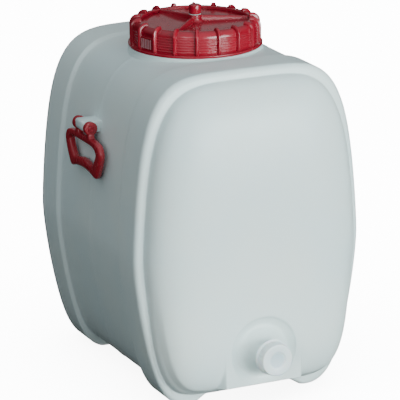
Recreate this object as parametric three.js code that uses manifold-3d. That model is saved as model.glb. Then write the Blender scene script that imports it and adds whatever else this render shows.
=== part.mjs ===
// A screw-lid liquid barrel: a blow-moulded tank with bulged ends, a wide screw lid with a vent plug,
// a capped outlet low on the front and a drop handle on each side.
// Millimetres, +Z up. The front with the outlet faces -Y. The origin is on the floor, under the middle.
import * as THREE from "three";
import { mergeVertices } from "three/addons/utils/BufferGeometryUtils.js";
import Module from "manifold-3d";

const wasm = await Module();
wasm.setup();

// Driving dimensions: tank
const tankHalfWidth = 160;
const tankHeight = 437;
const widestHeight = 200; // height above the floor at which the tank is widest
const narrowingTop = 25; // how much narrower each side is at the top
const narrowingBottom = 37; // and at the bottom
const narrowingPower = 1.5; // how the sides curve in: 2 is a parabola
const wall = 2.8;
const bandEdge = 157; // distance of each end band's outer edge from the lid's axis
const bandWidth = 58; // width of the end bands along Y
const waistInset = 4; // the waist is set in from the bands at the sides and top
const waistRaise = 11; // and raised from the floor
const waistStep = 8; // length along Y of the curved step between waist and band
const bandRound = 4.5; // rounding of a band's outer edge
const ledge = 12.5; // from a band's side in to its bulged end
const ledgeRaise = 2; // extra rise of the bulged end's lower edge
const bulge = 46; // how far a bulged end stands out from its ledge
const bandCornerTop = 5.2; // superellipse exponents: a higher number is a squarer corner
const bandCornerBottom = 8.5;
const bulgeCorner = 4.7;
const flatBase = 4; // moulded bottom cut flat by this much, which makes the resting faces
const footInside = 55; // from the middle to where a band's underside starts down to a foot
const footOutside = 85; // and to where the foot is at its full depth
const footRise = 9; // height of a band's underside between its feet
const footFade = 60; // height at which that rise has faded out

// Driving dimensions: neck and lid
const openingRadius = 72.5;
const neckWall = 3.5;
const collarMargin = 5.5; // how far the collar stands out past the ring's skirt
const collarRise = 3.6; // from the waist's top up to the collar
const collarFlare = 8; // how far the collar's foot spreads onto the shoulder
const collarDepth = 8; // how deep the collar's foot reaches into the shoulder
const neckRise = 27; // from the waist's top up to the neck's mouth
const lidPitch = 6;
const lidThreadDepth = 2;
const lidThreadTurns = 1.5;
const lidThreadStart = 12; // from the neck's mouth down to where its thread starts
const ringWall = 3.9;
const ringSkirtHeight = 33;
const ringShoulder = 8; // rounding from the skirt to the rim
const rimOverhang = 8.6; // how far the rim reaches in over the disc
const finCount = 18;
const finThickness = 3.4;
const finReach = 4.6;
const finStartAngle = 6.4; // degrees from +X to the first fin
const finTop = 2; // how far a fin stands above the rim
const ringLip = 3.5; // height of the plain band at the ring's lower edge
const ringStep = 1; // how far the skirt's foot stands out
const finInset = 3; // from the rim's inner edge to a fin's end
const discThickness = 2.6;
const discPlay = 0.8; // between the disc and the ring around it
const ribCount = 3;
const ribWidth = 5;
const ribStartAngle = -15;
const ribRise = 5; // how far the ribs stand above the rim at the hub
const ribChamfer = 4;
const hubRadius = 8.6;
const hubFlare = 4.5;
const sealThickness = 2.2;

// Driving dimensions: vent plug
const plugStemRadius = 6;
const plugKnobRadius = 7.8;
const plugKnobHeight = 12;
const plugStemLength = 17;
const plugSealThickness = 1;
const plugChamfer = 1;

// Driving dimensions: outlet
const outletHeight = 73;
const padHalfWidth = 54;
const padBottom = 29;
const padTop = 100;
const padSetBack = 3.5; // how far the flat pad lies behind the bulge's crest
const bowlRadius = 46;
const bowlFloorRadius = 34;
const bowlDepth = 11;
const spigotRadius = 16.5;
const spigotBore = 10;
const spigotRoot = 29; // radius where the spigot's foot runs into the bowl
const spigotFlare = 4; // how much wider the spigot is halfway up its foot
const spigotFlareLength = 16; // from the bowl's floor up to that place
const spigotFootLength = 23; // from the bowl's floor to where the spigot is straight
const spigotLength = 46; // from the bowl's floor to the mouth
const outletPitch = 3;
const outletThreadDepth = 1.1;
const outletThreadTurns = 2;
const outletThreadStart = 9; // from the spigot's mouth back to where its thread starts
const capWall = 2.8;
const capTaper = 2.7; // how much wider the cap is at its open end
const capSkirt = 13.5;
const capFace = 3;
const capDimpleRadius = 11;
const capDimpleDepth = 1.2;
const outletSealThickness = 1.3;

// Driving dimensions: handles
const hingeDepth = 92; // from the tank's top down to a handle's hinge axis
const hingeStandOff = 3; // from the waist's widest place out to the hinge axis
const lugHalfWidth = 13.5;
const lugRadius = 9.5;
const pinRadius = 3;
const pinHeadRadius = 4.6;
const pinHead = 1.6;
const earThickness = 8;
const earRadius = 7.4;
const handleThickness = 10;
const handleHalfWidth = 57;
const handleDrop = 62; // hinge axis to the lowest corners
const gripWidth = 14;
const gripArch = 6;

// Clearances
const gap = 0.3; // between touching pieces
const threadGap = 0.6; // between thread crests and the wall that they face
const pinGap = 0.3;

// Places that follow from the dimensions
const shoulder = tankHeight - waistInset; // the waist's top
const collarHeight = shoulder + collarRise;
const neckHeight = shoulder + neckRise;
const neckRadius = openingRadius + neckWall;
const ringBore = neckRadius + lidThreadDepth + threadGap;
const ringRadius = ringBore + ringWall;
const collarRadius = ringRadius + collarMargin;
const rimRadius = ringBore - rimOverhang;
const discRim = ringBore - discPlay;
const padReach = bandEdge + bulge - padSetBack; // distance of the flat pad from the lid's axis
const hingeHeight = tankHeight - hingeDepth;
const hingeReach = tankHalfWidth - waistInset + hingeStandOff;

// Facets
const outlineSteps = 64;
const insideSteps = 40;
const roundSteps = 48;
const smallSteps = 24;
const lidThreadSteps = 32; // per turn
const outletThreadSteps = 20;

const white = 0xdde3e2;
const solidWhite = 0xe4e8e6;
const red = 0xa8323e;
const darkRed = 0x8f3338;
const rubber = 0xb9bdbb;

// Closed geometry to a solid, turned the right way out
function solid(geometry) {
  const bare = geometry.index ? geometry.toNonIndexed() : geometry.clone();
  bare.deleteAttribute("normal");
  bare.deleteAttribute("uv");
  const merged = mergeVertices(bare, 1e-4);
  const position = merged.attributes.position.array;
  const faces = new Uint32Array(merged.index.array);
  const p = (i) => new THREE.Vector3().fromArray(position, 3 * i);
  let volume = 0;
  for (let i = 0; i < faces.length; i += 3) {
    volume += p(faces[i]).dot(p(faces[i + 1]).cross(p(faces[i + 2])));
  }
  for (let i = 0; volume < 0 && i < faces.length; i += 3) {
    [faces[i + 1], faces[i + 2]] = [faces[i + 2], faces[i + 1]];
  }
  return new wasm.Manifold(
    new wasm.Mesh({ numProp: 3, vertProperties: position, triVerts: faces }),
  );
}

function named(name, shape, color, roughness) {
  const made = shape.getMesh();
  const geometry = new THREE.BufferGeometry();
  geometry.setAttribute(
    "position",
    new THREE.BufferAttribute(new Float32Array(made.vertProperties), 3),
  );
  geometry.setIndex(new THREE.BufferAttribute(new Uint32Array(made.triVerts), 1));
  geometry.computeVertexNormals();
  const material = new THREE.MeshStandardMaterial({ color, roughness, metalness: 0 });
  const mesh = new THREE.Mesh(geometry, material);
  mesh.name = name;
  return mesh;
}

// A closed profile of [radius, height] pairs turned about +Z
function turned(profile, steps = roundSteps) {
  const points = [...profile, profile[0]].map(([r, z]) => new THREE.Vector2(r, z));
  return solid(new THREE.LatheGeometry(points, steps).rotateX(Math.PI / 2));
}

// A closed outline of [across, up] pairs given a thickness, standing in the XZ plane and centred on Y = 0
function plate(outline, thickness) {
  const shape = new THREE.Shape(outline.map(([x, z]) => new THREE.Vector2(x, z)));
  const geometry = new THREE.ExtrudeGeometry(shape, { depth: thickness, bevelEnabled: false });
  return solid(geometry.translate(0, 0, -thickness / 2).rotateX(Math.PI / 2));
}

function block(x0, x1, y0, y1, z0, z1) {
  const geometry = new THREE.BoxGeometry(x1 - x0, y1 - y0, z1 - z0);
  return solid(geometry.translate((x0 + x1) / 2, (y0 + y1) / 2, (z0 + z1) / 2));
}

// Rings of points, each with the same count, skinned into one closed solid with a point at each end
function skinned(rings, firstPoint, lastPoint) {
  const count = rings[0].length;
  const vertices = [firstPoint, ...rings.flat(), lastPoint].flat();
  const faces = [];
  const at = (ring, i) => 1 + ring * count + (i % count);
  for (let i = 0; i < count; i++) {
    faces.push(0, at(0, i + 1), at(0, i));
    for (let k = 0; k + 1 < rings.length; k++) {
      faces.push(at(k, i), at(k, i + 1), at(k + 1, i + 1));
      faces.push(at(k, i), at(k + 1, i + 1), at(k + 1, i));
    }
    const k = rings.length - 1;
    faces.push(at(k, i), at(k, i + 1), 1 + rings.length * count);
  }
  const geometry = new THREE.BufferGeometry();
  geometry.setAttribute("position", new THREE.Float32BufferAttribute(vertices, 3));
  geometry.setIndex(faces);
  return solid(geometry);
}

// A helical ridge about +Z. Its root is sunk into the wall at the given radius, and side is
// +1 for a ridge that stands outwards or -1 for one that stands inwards. Its ends run out to nothing.
function ridge({ radius, side, depth, pitch, turns, start, steps: perTurn }) {
  const sink = 0.8;
  const rootHalf = pitch * 0.21;
  const crestHalf = pitch * 0.12;
  const steps = Math.round(turns * perTurn);
  const runOut = perTurn / 6;
  const sections = [];
  for (let i = 0; i <= steps; i++) {
    const angle = (i / perTurn) * 2 * Math.PI;
    const height = start + (i / perTurn) * pitch;
    const rise = depth * Math.min(1, (i + 0.2) / runOut, (steps - i + 0.2) / runOut);
    const corner = (r, z) => [r * Math.cos(angle), r * Math.sin(angle), height + z];
    sections.push([
      corner(radius - side * sink, -rootHalf),
      corner(radius, -rootHalf),
      corner(radius + side * rise, -crestHalf),
      corner(radius + side * rise, crestHalf),
      corner(radius, rootHalf),
      corner(radius - side * sink, rootHalf),
    ]);
  }
  const middle = (s) => [0, 1, 2].map((k) => s.reduce((sum, p) => sum + p[k], 0) / s.length);
  return skinned(sections, middle(sections[0]), middle(sections[steps]));
}

// ---- Tank ----

// One ring of the tank's outline, set in by inset, with its lower edge at bottom and upper at top.
// feet says how much of the rise between the feet it has, 0 to 1.
function outline({ y, inset, bottom, top, cornerTop, cornerBottom, feet = 0, scale = 1 }, steps) {
  const middle = (bottom + top) / 2;
  const half = (top - bottom) / 2 - inset;
  const points = [];
  for (let i = 0; i < steps; i++) {
    const angle = (i / steps) * 2 * Math.PI;
    const across = Math.sin(angle);
    const up = Math.cos(angle);
    const n = up > 0 ? cornerTop : cornerBottom;
    const reach = (Math.abs(across) ** n + Math.abs(up) ** n) ** (-1 / n);
    const z = middle + half * reach * up;
    const away = (z - widestHeight) / (z > widestHeight ? tankHeight - widestHeight : widestHeight);
    const most = z > widestHeight ? narrowingTop : narrowingBottom;
    const narrowing = most * Math.abs(away) ** narrowingPower;
    const x = (tankHalfWidth - narrowing - inset) * reach * across;
    const toFoot = THREE.MathUtils.smoothstep(Math.abs(x), footInside, footOutside);
    const lift = feet * (footRise + flatBase) * (1 - toFoot) * Math.max(0, 1 - z / footFade);
    points.push([x * scale, y, middle + (z + lift - middle) * scale]);
  }
  return points;
}

// The rings of one end of the tank from its waist to its bulged end, shrunk by the given amount.
// The shares say where the rings lie on the curved step and on the bulge.
const outsideShares = { step: [0, 0.3, 0.7, 1], bulge: [1, 0.985, 0.95, 0.88, 0.76, 0.6, 0.4, 0.2] };
const insideShares = { step: [0, 1], bulge: [1, 0.97, 0.88, 0.7, 0.4] };

function endRings(shrink, shares) {
  const band = {
    inset: shrink,
    bottom: -flatBase,
    top: tankHeight,
    cornerTop: bandCornerTop,
    cornerBottom: bandCornerBottom,
    feet: 1,
  };
  const inner = bandEdge - bandWidth + shrink;
  const outer = bandEdge - shrink;
  const rings = [];
  for (const t of shares.step) {
    const ease = t * t * (3 - 2 * t);
    rings.push({
      ...band,
      y: inner + (t - 0.5) * waistStep,
      inset: shrink + waistInset * (1 - ease),
      bottom: -flatBase + (waistRaise - waistInset + flatBase) * (1 - ease),
      feet: ease,
    });
  }
  rings.push({ ...band, y: outer - bandRound });
  rings.push({ ...band, y: outer - 0.3 * bandRound, inset: shrink + 0.3 * bandRound });
  rings.push({ ...band, y: outer, inset: shrink + bandRound });
  for (const u of shares.bulge) {
    rings.push({
      y: outer + bulge * Math.sqrt(1 - u ** 4),
      inset: shrink + ledge,
      bottom: ledgeRaise,
      top: tankHeight,
      cornerTop: bulgeCorner,
      cornerBottom: bulgeCorner,
      scale: u,
    });
  }
  return rings;
}

function tankBody(shrink, shares, steps) {
  const rear = endRings(shrink, shares);
  const front = rear.map((ring) => ({ ...ring, y: -ring.y })).reverse();
  const rings = [...front, ...rear].map((ring) => outline(ring, steps));
  const middle = (ledgeRaise + tankHeight) / 2;
  const crest = bandEdge + bulge - shrink;
  return skinned(rings, [0, -crest, middle], [0, crest, middle]);
}

// Turned about the outlet's axis: a profile of [radius, distance from the lid's axis towards the front]
function onOutlet(shape) {
  const placed = new THREE.Matrix4().makeTranslation(0, 0, outletHeight);
  placed.multiply(new THREE.Matrix4().makeRotationX(Math.PI / 2));
  return shape.transform(placed.elements);
}

const bowlFloor = padReach - bowlDepth;
const spigotMouth = bowlFloor + spigotLength;

function bowlCut(grow) {
  return onOutlet(
    turned([
      [0, bowlFloor - grow],
      [bowlFloorRadius + grow, bowlFloor - grow],
      [bowlRadius + grow, padReach + 0.5],
      [bowlRadius + grow, padReach + 10],
      [0, padReach + 10],
    ]),
  );
}

function spigot() {
  const foot = onOutlet(
    turned([
      [0, bowlFloor - 1],
      [spigotRoot, bowlFloor - 1],
      [spigotRoot, bowlFloor],
      [spigotRadius + spigotFlare, bowlFloor + spigotFlareLength],
      [spigotRadius, bowlFloor + spigotFootLength],
      [spigotRadius, spigotMouth],
      [0, spigotMouth],
    ]),
  );
  const thread = onOutlet(
    ridge({
      radius: spigotRadius,
      side: 1,
      depth: outletThreadDepth,
      pitch: outletPitch,
      turns: outletThreadTurns,
      start: spigotMouth - outletThreadStart,
      steps: outletThreadSteps,
    }),
  );
  return foot.add(thread);
}

// A lug's side view: its round end is about the hinge axis. It is drawn for the +X side.
function lug() {
  const end = [];
  for (let i = 0; i <= 10; i++) {
    const angle = -Math.PI / 2 + (i / 10) * Math.PI;
    end.push([hingeReach + lugRadius * Math.cos(angle), hingeHeight + lugRadius * Math.sin(angle)]);
  }
  const root = tankHalfWidth - narrowingTop - waistInset - 1;
  const sideView = [[root, hingeHeight + lugRadius], [root, hingeHeight - lugRadius], ...end];
  return plate(sideView, 2 * lugHalfWidth);
}

function hingeBore(radius, halfLength) {
  const bore = turned(
    [
      [0, -halfLength],
      [radius, -halfLength],
      [radius, halfLength],
      [0, halfLength],
    ],
    smallSteps,
  );
  const placed = new THREE.Matrix4().makeTranslation(hingeReach, 0, hingeHeight);
  placed.multiply(new THREE.Matrix4().makeRotationX(Math.PI / 2));
  return bore.transform(placed.elements);
}

const mirrored = (shape) => shape.mirror([1, 0, 0]);

function tank() {
  const collar = turned([
    [0, shoulder - collarDepth],
    [collarRadius + collarFlare, shoulder - collarDepth],
    [collarRadius + collarFlare, shoulder - 2],
    [collarRadius + 0.3 * collarFlare, shoulder + 0.5],
    [collarRadius, shoulder + 3],
    [collarRadius, collarHeight],
    [neckRadius, collarHeight],
    [neckRadius, neckHeight],
    [0, neckHeight],
  ]);
  const neckThread = ridge({
    radius: neckRadius,
    side: 1,
    depth: lidThreadDepth,
    pitch: lidPitch,
    turns: lidThreadTurns,
    start: neckHeight - lidThreadStart,
    steps: lidThreadSteps,
  });
  const pad = block(-padHalfWidth, padHalfWidth, -padReach, -bandEdge, padBottom, padTop);
  const padHollow = block(
    -padHalfWidth + wall,
    padHalfWidth - wall,
    -padReach + wall,
    -bandEdge + bandWidth,
    padBottom + wall,
    padTop - wall,
  );
  const hollow = tankBody(wall, insideShares, insideSteps);
  const inside = hollow.add(padHollow).subtract(bowlCut(wall));
  const opening = turned([
    [0, shoulder - 3 * collarDepth],
    [openingRadius, shoulder - 3 * collarDepth],
    [openingRadius, neckHeight + 1],
    [0, neckHeight + 1],
  ]);
  const bore = onOutlet(
    turned(
      [
        [0, bowlFloor - 2 * wall],
        [spigotBore, bowlFloor - 2 * wall],
        [spigotBore, spigotMouth + 1],
        [0, spigotMouth + 1],
      ],
      smallSteps,
    ),
  );
  const underFloor = block(-tankHalfWidth, tankHalfWidth, -bandEdge, bandEdge, -10, 0);
  const lugs = lug().add(mirrored(lug()));
  const bores = hingeBore(pinRadius + pinGap, lugHalfWidth + 1);
  return tankBody(0, outsideShares, outlineSteps)
    .add(pad)
    .add(lugs)
    .add(collar)
    .subtract(bowlCut(0))
    .add(spigot())
    .subtract(inside)
    .add(neckThread)
    .subtract(opening)
    .subtract(bore)
    .subtract(bores)
    .subtract(mirrored(bores))
    .subtract(underFloor);
}

// ---- Lid ----

const ringBottom = collarHeight + gap;
const ringTop = ringBottom + ringSkirtHeight;
const sealBottom = neckHeight + gap;
const discBottom = sealBottom + sealThickness + gap;
const discTop = discBottom + discThickness;

function lidRing() {
  const body = turned(
    [
      [ringBore, ringBottom],
      [collarRadius, ringBottom],
      [collarRadius, ringBottom + ringLip],
      [ringRadius + ringStep, ringBottom + ringLip],
      [ringRadius, ringTop - ringShoulder],
      [ringRadius - 0.3 * ringShoulder, ringTop - 0.3 * ringShoulder],
      [ringRadius - ringShoulder, ringTop],
      [rimRadius, ringTop],
      [rimRadius, discTop + gap],
      [ringBore, discTop + gap],
    ],
    finCount * 3,
  );
  const finReachRadius = ringRadius + finReach;
  let ring = body;
  for (let i = 0; i < finCount; i++) {
    const fin = plate(
      [
        [ringRadius - 1, ringBottom + ringLip - 1],
        [finReachRadius, ringBottom + ringLip + 1],
        [finReachRadius, ringTop - ringShoulder],
        [finReachRadius - 0.3 * ringShoulder, ringTop + finTop - 0.3 * ringShoulder],
        [finReachRadius - ringShoulder, ringTop + finTop],
        [rimRadius + finInset, ringTop + finTop],
        [rimRadius + 0.5 * finInset, ringTop - 1],
        [ringRadius - ringShoulder, ringTop - 1],
        [ringRadius - 1, ringTop - ringShoulder],
      ],
      finThickness,
    );
    ring = ring.add(fin.rotate([0, 0, finStartAngle + (i * 360) / finCount]));
  }
  const thread = ridge({
    radius: ringBore,
    side: -1,
    depth: lidThreadDepth,
    pitch: lidPitch,
    turns: lidThreadTurns,
    start: neckHeight - lidThreadStart - lidPitch * 1.5,
    steps: lidThreadSteps,
  });
  return ring.add(thread);
}

function lidDisc() {
  const hubTop = ringTop + ribRise;
  const bore = plugStemRadius + gap;
  const body = turned([
    [bore, discBottom],
    [discRim, discBottom],
    [discRim, discTop],
    [hubRadius + hubFlare, discTop],
    [hubRadius, discTop + hubFlare],
    [hubRadius, hubTop],
    [bore, hubTop],
  ]);
  let disc = body;
  for (let i = 0; i < ribCount; i++) {
    const rib = plate(
      [
        [hubRadius - 1, discTop - 1],
        [rimRadius - gap, discTop - 1],
        [rimRadius - gap, ringTop - 1],
        [rimRadius - ribChamfer, ringTop],
        [hubRadius - 1, hubTop - 1],
      ],
      ribWidth,
    );
    disc = disc.add(rib.rotate([0, 0, ribStartAngle + (i * 360) / ribCount]));
  }
  return disc;
}

function lidSeal() {
  return turned([
    [openingRadius + gap, sealBottom],
    [neckRadius, sealBottom],
    [neckRadius, sealBottom + sealThickness],
    [openingRadius + gap, sealBottom + sealThickness],
  ]);
}

const plugSeat = ringTop + ribRise + gap;

function ventPlug() {
  const underKnob = plugSeat + plugSealThickness + gap;
  const top = underKnob + plugKnobHeight;
  return turned(
    [
      [0, underKnob - plugStemLength],
      [plugStemRadius - plugChamfer, underKnob - plugStemLength],
      [plugStemRadius, underKnob - plugStemLength + 2 * plugChamfer],
      [plugStemRadius, underKnob],
      [plugKnobRadius, underKnob],
      [plugKnobRadius, top - plugChamfer],
      [plugKnobRadius - plugChamfer, top],
      [0, top],
    ],
    smallSteps,
  );
}

function ventPlugSeal() {
  return turned(
    [
      [plugStemRadius + gap, plugSeat],
      [plugKnobRadius, plugSeat],
      [plugKnobRadius, plugSeat + plugSealThickness],
      [plugStemRadius + gap, plugSeat + plugSealThickness],
    ],
    smallSteps,
  );
}

// ---- Outlet cap ----

const capBore = spigotRadius + outletThreadDepth + threadGap;
const outletSealSeat = spigotMouth + gap;
const capInside = outletSealSeat + outletSealThickness + gap;
const capReach = capInside + capFace;

function outletCap() {
  const outer = capBore + capWall;
  const back = capInside - capSkirt;
  const body = turned(
    [
      [0, capInside],
      [capBore, capInside],
      [capBore, back],
      [outer + capTaper, back],
      [outer + capTaper, back + 1.5],
      [outer + 0.5, back + 3],
      [outer, capReach - 1],
      [outer - 1, capReach],
      [capDimpleRadius, capReach],
      [capDimpleRadius, capReach - capDimpleDepth],
      [0, capReach - capDimpleDepth],
    ],
    smallSteps,
  );
  const thread = ridge({
    radius: capBore,
    side: -1,
    depth: outletThreadDepth,
    pitch: outletPitch,
    turns: outletThreadTurns,
    start: spigotMouth - outletThreadStart - outletPitch * 0.5,
    steps: outletThreadSteps,
  });
  return onOutlet(body.add(thread));
}

function outletSeal() {
  const flat = turned(
    [
      [0, outletSealSeat],
      [spigotRadius, outletSealSeat],
      [spigotRadius, outletSealSeat + outletSealThickness],
      [0, outletSealSeat + outletSealThickness],
    ],
    smallSteps,
  );
  return onOutlet(flat);
}

// ---- Handles ----

// Half of a closed outline, from the middle of the top to the middle of the bottom, and its mirror image
function bothSides(half) {
  const other = half.filter(([across]) => across > 0).map(([across, up]) => [-across, up]);
  return [...half, ...other.reverse()];
}

function handle() {
  const wide = handleHalfWidth;
  const foot = 0.7 * wide;
  const barTop = -lugRadius - 2.5;
  const earMiddle = lugHalfWidth + gap + earThickness / 2;
  const outer = bothSides([
    [0, barTop],
    [earMiddle + earThickness, barTop],
    [0.82 * wide, barTop - 2],
    [0.95 * wide, barTop - 7],
    [wide, barTop - 15],
    [0.97 * wide, barTop - 24],
    [foot + 5, -handleDrop + 6],
    [foot + 1, -handleDrop + 1],
    [foot - 5, -handleDrop],
    [foot - 14, -handleDrop + 0.5 * gripArch],
    [0, -handleDrop + gripArch],
  ]);
  const opening = bothSides([
    [0, barTop - 9],
    [0.6 * wide, barTop - 9],
    [0.72 * wide, barTop - 12],
    [0.75 * wide, barTop - 17],
    [foot - 9, -handleDrop + gripWidth + 2],
    [foot - 16, -handleDrop + gripWidth],
    [0, -handleDrop + gripArch + gripWidth],
  ]);
  const loop = plate(outer, handleThickness).subtract(plate(opening, handleThickness + 2));
  const placed = loop.rotate([0, 0, 90]).translate([hingeReach, 0, hingeHeight]);
  const ear = (side) => {
    const disc = turned(
      [
        [0, -earThickness / 2],
        [earRadius, -earThickness / 2],
        [earRadius, earThickness / 2],
        [0, earThickness / 2],
      ],
      smallSteps,
    );
    const at = [hingeReach, side * earMiddle, hingeHeight];
    const [halfDeep, halfWide] = [handleThickness / 2, earThickness / 2];
    const stem = block(-halfDeep, halfDeep, -halfWide, halfWide, barTop - 3, 0);
    return disc.rotate([90, 0, 0]).add(stem).translate(at);
  };
  return placed.add(ear(1)).add(ear(-1)).subtract(hingeBore(pinRadius + pinGap, wide));
}

function handlePin() {
  const face = lugHalfWidth + gap + earThickness + gap;
  const pin = turned(
    [
      [0, -face - pinHead],
      [pinHeadRadius, -face - pinHead],
      [pinHeadRadius, -face],
      [pinRadius, -face],
      [pinRadius, face],
      [pinHeadRadius, face],
      [pinHeadRadius, face + pinHead],
      [0, face + pinHead],
    ],
    smallSteps,
  );
  return pin.rotate([90, 0, 0]).translate([hingeReach, 0, hingeHeight]);
}

// ---- Assembly ----

const barrel = new THREE.Group();
barrel.add(named("tank", tank(), white, 0.45));

const lid = new THREE.Group();
lid.add(named("lid_ring", lidRing(), red, 0.35));
lid.add(named("lid_disc", lidDisc(), red, 0.35));
lid.add(named("lid_seal", lidSeal(), rubber, 0.7));
lid.add(named("vent_plug", ventPlug(), red, 0.35));
lid.add(named("vent_plug_seal", ventPlugSeal(), rubber, 0.7));
barrel.add(lid);

const outlet = new THREE.Group();
outlet.add(named("outlet_cap", outletCap(), solidWhite, 0.4));
outlet.add(named("outlet_seal", outletSeal(), rubber, 0.7));
barrel.add(outlet);

const handles = new THREE.Group();
handles.add(named("handle_right", handle(), darkRed, 0.4));
handles.add(named("handle_left", mirrored(handle()), darkRed, 0.4));
handles.add(named("handle_pin_right", handlePin(), red, 0.4));
handles.add(named("handle_pin_left", mirrored(handlePin()), red, 0.4));
barrel.add(handles);

// The outlet reaches further forward than the tank does backward, so the lid's axis is moved back
// to put the origin under the middle of the whole object.
barrel.position.y = (capReach - (bandEdge + bulge)) / 2;
const object = new THREE.Group();
object.add(barrel);

export default object;
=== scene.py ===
"""A screw-lid liquid barrel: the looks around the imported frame. Sizes are in millimetres, measured from
the lid's axis and the floor, and are turned into metres in the row frame when a mesh is made."""

import math

import bpy
import numpy as np
from mathutils import Matrix, Vector

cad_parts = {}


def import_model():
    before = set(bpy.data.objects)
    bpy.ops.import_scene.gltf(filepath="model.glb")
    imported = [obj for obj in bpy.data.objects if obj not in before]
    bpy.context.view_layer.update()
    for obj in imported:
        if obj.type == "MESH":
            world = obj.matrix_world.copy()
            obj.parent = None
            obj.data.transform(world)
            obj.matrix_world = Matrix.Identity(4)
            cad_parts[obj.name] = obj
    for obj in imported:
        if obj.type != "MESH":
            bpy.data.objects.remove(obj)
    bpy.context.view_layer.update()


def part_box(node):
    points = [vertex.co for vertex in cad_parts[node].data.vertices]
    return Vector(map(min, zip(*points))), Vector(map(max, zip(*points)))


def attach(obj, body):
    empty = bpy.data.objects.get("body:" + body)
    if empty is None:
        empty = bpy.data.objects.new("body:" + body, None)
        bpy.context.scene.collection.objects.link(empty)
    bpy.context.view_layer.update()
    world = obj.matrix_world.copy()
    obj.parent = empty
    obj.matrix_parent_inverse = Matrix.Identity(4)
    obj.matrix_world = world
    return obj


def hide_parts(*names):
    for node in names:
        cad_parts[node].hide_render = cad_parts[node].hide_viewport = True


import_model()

MM = 0.001
GAP = 0.3


def box(node):
    """Lowest and highest corners of a CAD node in millimetres."""
    low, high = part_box(node)
    return np.array(low) / MM, np.array(high) / MM


# ---- Sizes taken from the frame ----
RING_LOW, RING_HIGH = box("lid_ring")
DISC_LOW, DISC_HIGH = box("lid_disc")
PLUG_LOW, PLUG_HIGH = box("vent_plug")
PLUG_SEAL_LOW, PLUG_SEAL_HIGH = box("vent_plug_seal")
SEAL_LOW, SEAL_HIGH = box("lid_seal")
CAP_LOW, CAP_HIGH = box("outlet_cap")
WASHER_LOW, WASHER_HIGH = box("outlet_seal")
PIN_LOW, PIN_HIGH = box("handle_pin_right")
AXIS_Y = (DISC_LOW[1] + DISC_HIGH[1]) / 2
NECK_HEIGHT = box("tank")[1][2]
OUTLET_HEIGHT = (WASHER_LOW[2] + WASHER_HIGH[2]) / 2
HINGE_REACH = (PIN_LOW[0] + PIN_HIGH[0]) / 2
HINGE_HEIGHT = (PIN_LOW[2] + PIN_HIGH[2]) / 2

# ---- Tank ----
TANK_HALF_WIDTH = 160
TANK_HEIGHT = 437
WIDEST_HEIGHT = 200
NARROWING_TOP = 25  # how much each side has come in at the top
NARROWING_BOTTOM = 37  # and at the floor
NARROWING_POWER = 1.5
WALL = 2.8
BAND_EDGE = 157  # from the middle of the tank to its ledges
BAND_WIDTH = 58
WAIST_INSET = 4
WAIST_RAISE = 11
WAIST_STEP = 8  # the length of the slope from the waist to a band
BAND_ROUND = 8
LEDGE = 11.5  # the width of the step between a band and its bulged end
LEDGE_RAISE = 2  # with the ledge's width, the height of a bulged end's lowest edge
LEDGE_FILLET = 2.2
LEDGE_DROP = 0.6  # how far the ledge slopes back to the edge of the band
PARTING_RISE = 0.35  # the faint mould line round the waist
PARTING_HALF_WIDTH = 4
BULGE = 46  # how far an end bulges past its ledge
BULGE_POWER = 4  # how flat the bulge is in its middle
BULGE_MIDDLE = (LEDGE_RAISE + TANK_HEIGHT) / 2
BAND_CORNER_TOP = 5.2  # powers of the outlines' round corners: the larger, the squarer
BAND_CORNER_BOTTOM = 8.5
BULGE_CORNER_TOP = 4.7
BULGE_CORNER_BOTTOM = 8.5
BULGE_SPREAD = 0.045  # how much wider a bulged end grows, as a share, between these heights
BULGE_SPREAD_LOW = 30
BULGE_SPREAD_HIGH = 170
BULGE_FULLNESS = 3  # added to the front bulge's power low down
FULLNESS_FADE = 0.04  # the part of the way to the edge over which that comes in
FRONT_RISE = 14  # above the ledge, where the front stops following the bulge alone
FLAT_BASE = 4  # cut off under the feet, to stand flat
FOOT_INSIDE = 55
FOOT_OUTSIDE = 85
FOOT_RISE = 9  # how high a band arches between its feet
FOOT_FADE = 60  # the height where the arch has faded

# ---- Neck ----
OPENING_RADIUS = 72.5
NECK_RADIUS = 76
COLLAR_RADIUS = 88
COLLAR_HEIGHT = RING_LOW[2] - GAP
COLLAR_FLARE = 3
FLARE_SUNK = 3  # the part of the flare that is hidden in the tank
FLARE_HEIGHT = 11
SMALL_EDGE = 0.8
LID_PITCH = 6
LID_THREAD = (2, LID_PITCH, 1.5)  # depth, pitch and turns
LID_THREAD_START = 12  # from the neck's top
MOUTH_CUT_LOW = 380
MOUTH_CUT_HIGH = 470

# ---- Lid ----
RING_BOTTOM = RING_LOW[2]
FIN_TOP = 2
RING_TOP = RING_HIGH[2] - FIN_TOP
RING_BORE = 78.6
RING_RADIUS = 82.5
RIM_RADIUS = 70
FIN_COUNT = 18
FIN_WIDTH = 5
NOSE_RISE = 3.8
FIN_REACH = 4.6
FIN_START_ANGLE = 6.4
WINDOW_GAP = 9  # the gap between fins that holds the slot and bars
WINDOW_BARS = 6
WINDOW_ANGLE = math.radians(FIN_START_ANGLE + (WINDOW_GAP + 0.5) * 360 / FIN_COUNT)
BAR_REACH = 1.8
SLOT_WIDTH = 20
SLOT_HEIGHT = 5
RING_SHOULDER = 8
SKIRT_LOW = RING_BOTTOM + 4.5
SKIRT_HIGH = RING_TOP - RING_SHOULDER
SKIRT_RIPPLES = 6
RIPPLE_RISE = 0.7
FIN_SINK = 1.2  # how deep a fin's root lies in the ring
DISC_BOTTOM = DISC_LOW[2]
DISC_TOP = DISC_BOTTOM + 2.6
HUB_TOP = DISC_HIGH[2]
DISC_RIM = 77.8
RIB_COUNT = 3
RIB_WIDTH = 5
RIB_START_ANGLE = -15
HUB_RADIUS = 8.6
HUB_FLARE = 4.5
PLUG_STEM_RADIUS = 6
PLUG_KNOB_RADIUS = 7.8

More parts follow.
